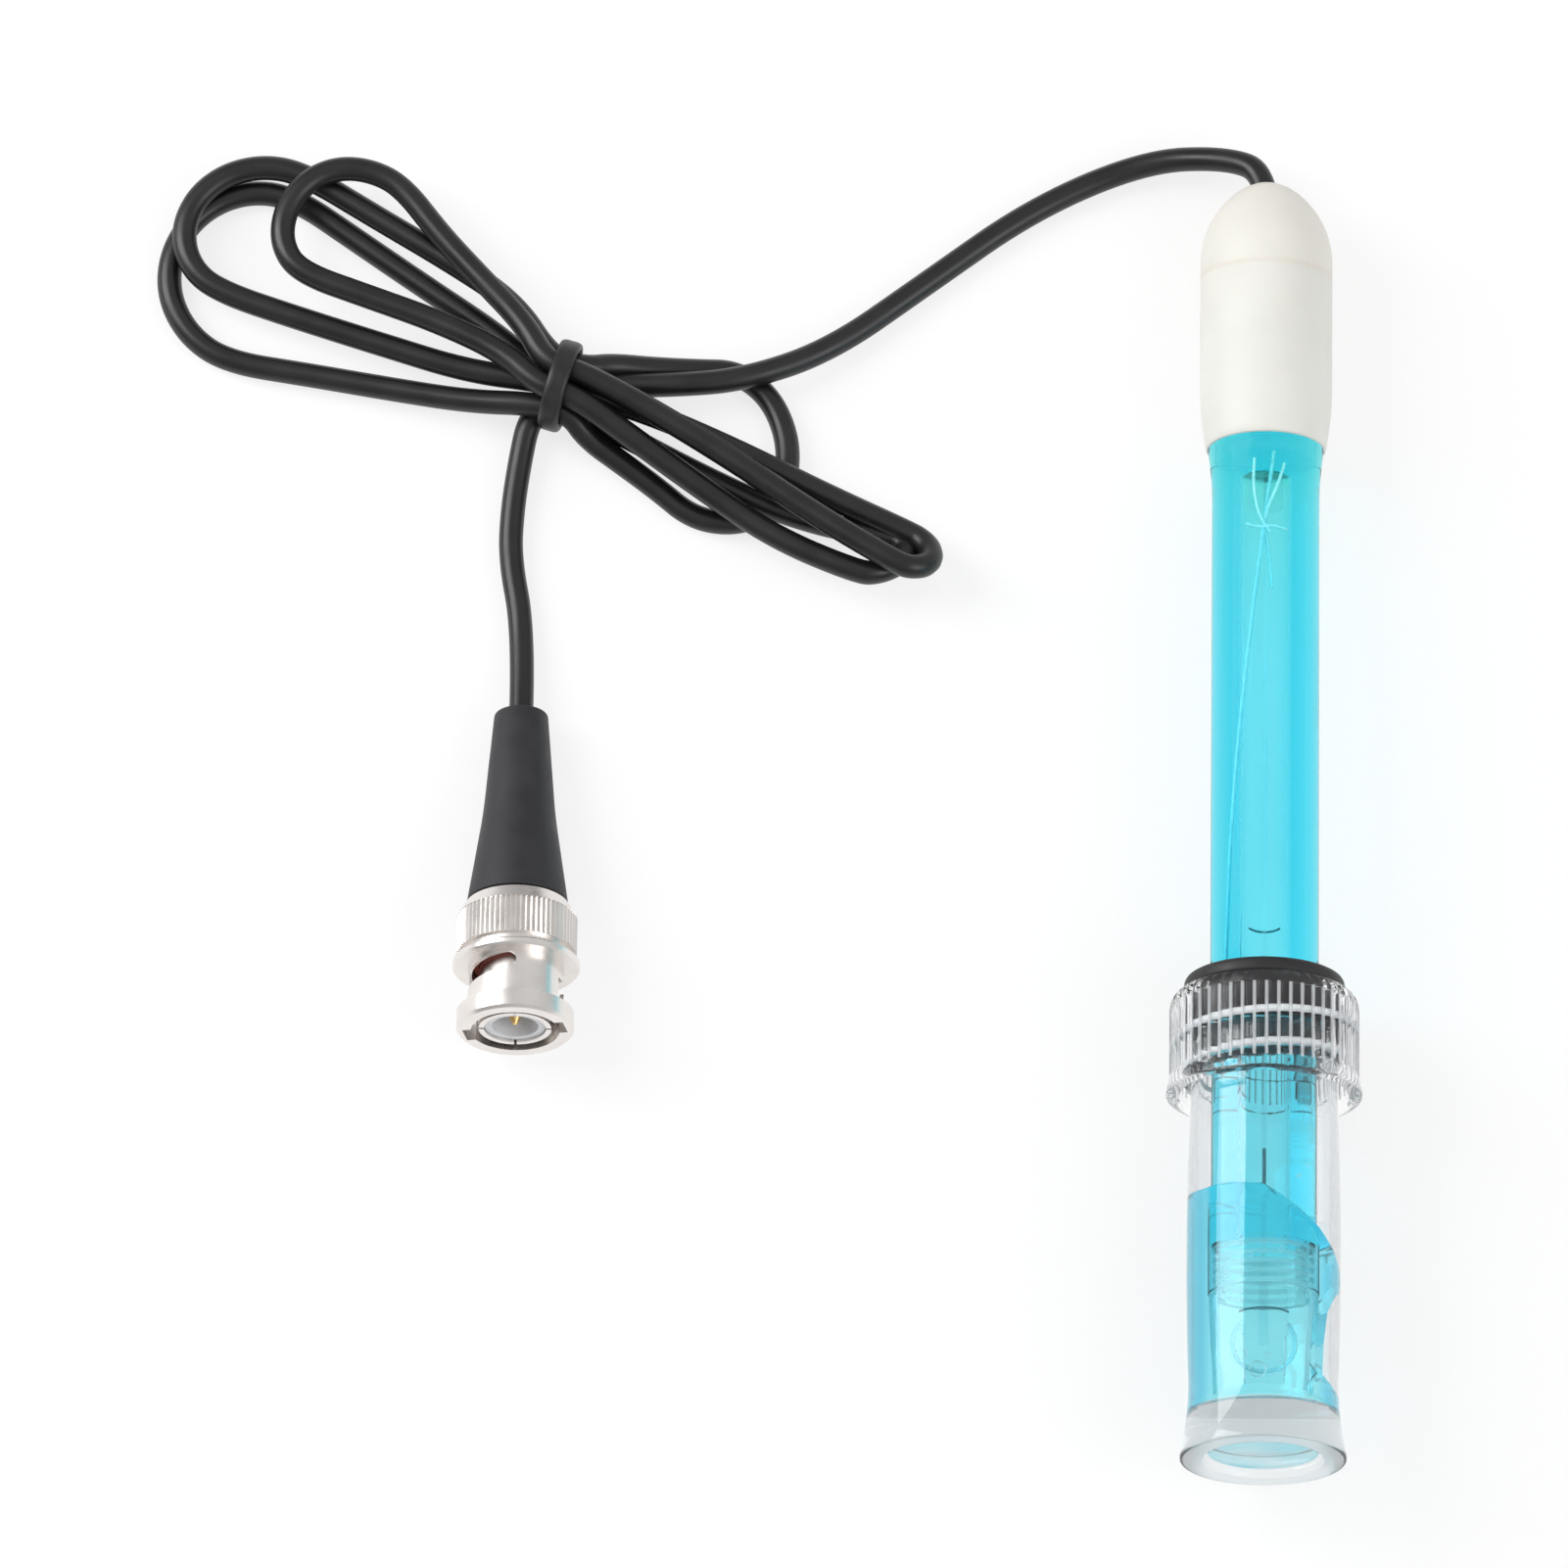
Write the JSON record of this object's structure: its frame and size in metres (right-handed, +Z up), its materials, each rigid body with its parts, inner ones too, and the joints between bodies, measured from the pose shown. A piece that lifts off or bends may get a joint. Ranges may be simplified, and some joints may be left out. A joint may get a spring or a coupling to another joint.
{
  "type": "ph electrode",
  "caption": "Combination pH electrode lying in its clear soaking bottle, with a tinted tube, moulded head, tied lead and bayonet plug",
  "frame": {"origin": "bench level under the middle of the electrode's length and width, the lead and plug left out", "axes": "+Z up; the electrode lies along Y with its head towards +Y and its bottle towards -Y; the tied lead and plug lie towards -X"},
  "size_m": [0.1356, 0.1561, 0.0217],
  "materials": {
    "head_plastic": "satin, slightly translucent",
    "potting_resin": "cast",
    "blue_tube": "clear tinted plastic",
    "stopper_plastic": "clear tinted plastic",
    "blue_guard": "clear tinted plastic",
    "junction_ceramic": "porous",
    "electrode_glass": "blown glass",
    "plug_silicone": "soft",
    "silver_wire": "drawn, coated end",
    "seal_rubber": "matte moulded",
    "clear_cap": "clear moulded plastic",
    "clear_bottle": "clear moulded plastic",
    "cable_jacket": "semi-gloss jacket",
    "tie_rubber": "matte",
    "boot_rubber": "matte moulded",
    "nickel": "plated",
    "white_dielectric": "satin",
    "gold_pin": "gold plated",
    "gasket_silicone": "soft"
  },
  "bodies": {
    "electrode": {"head_cap": "head_plastic", "head_potting": "potting_resin", "body_tube": "blue_tube", "tube_stopper": "stopper_plastic", "tip_guard": "blue_guard", "reference_junction": "junction_ceramic", "glass_electrode": "electrode_glass", "stem_plug": "plug_silicone", "inner_wire": "silver_wire", "reference_wire": "silver_wire", "cable_head_lead": "cable_jacket", "cable_hank": "cable_jacket", "cable_plug_lead": "cable_jacket", "cable_tie": "tie_rubber", "plug_boot": "boot_rubber", "crimp_ferrule": "nickel", "plug_body": "nickel", "plug_dielectric": "white_dielectric", "center_pin": "gold_pin", "face_gasket": "gasket_silicone"},
    "seal": {"cap_seal": "seal_rubber"},
    "cap": {"bottle_cap": "clear_cap"},
    "bottle": {"bottle": "clear_bottle"},
    "washer": {"spring_washer": "nickel"},
    "nut": {"coupling_nut": "nickel"}
  },
  "joints": [
    {"name": "seal_slide", "type": "slide", "parent": "electrode", "child": "seal", "axis": [0, -0.9994, 0.0355], "range_m": [0, 0.055]},
    {"name": "cap_turn", "type": "hinge", "parent": "seal", "child": "cap", "pos_m": [0, -0.02076, 0.01047], "axis": [0, -0.9994, 0.0355], "range_deg": [0, 630]},
    {"name": "bottle_unscrew", "type": "slide", "parent": "seal", "child": "bottle", "axis": [0, -0.9994, 0.0355], "range_m": [0, 0.007]},
    {"name": "nut_draw", "type": "slide", "parent": "electrode", "child": "washer", "axis": [0, -0.9892, 0.1466], "range_m": [0, 0.001], "stiffness_N_per_m": 4000, "springref_m": -0.0005},
    {"name": "nut_turn", "type": "hinge", "parent": "washer", "child": "nut", "pos_m": [-0.0828, -0.01195, 0.00663], "axis": [0, 0.9892, -0.1466], "continuous": true}
  ],
  "couplings": [
    {"joint": "bottle_unscrew", "follows": "cap_turn", "m_per_rad": 0.00063662}
  ]
}
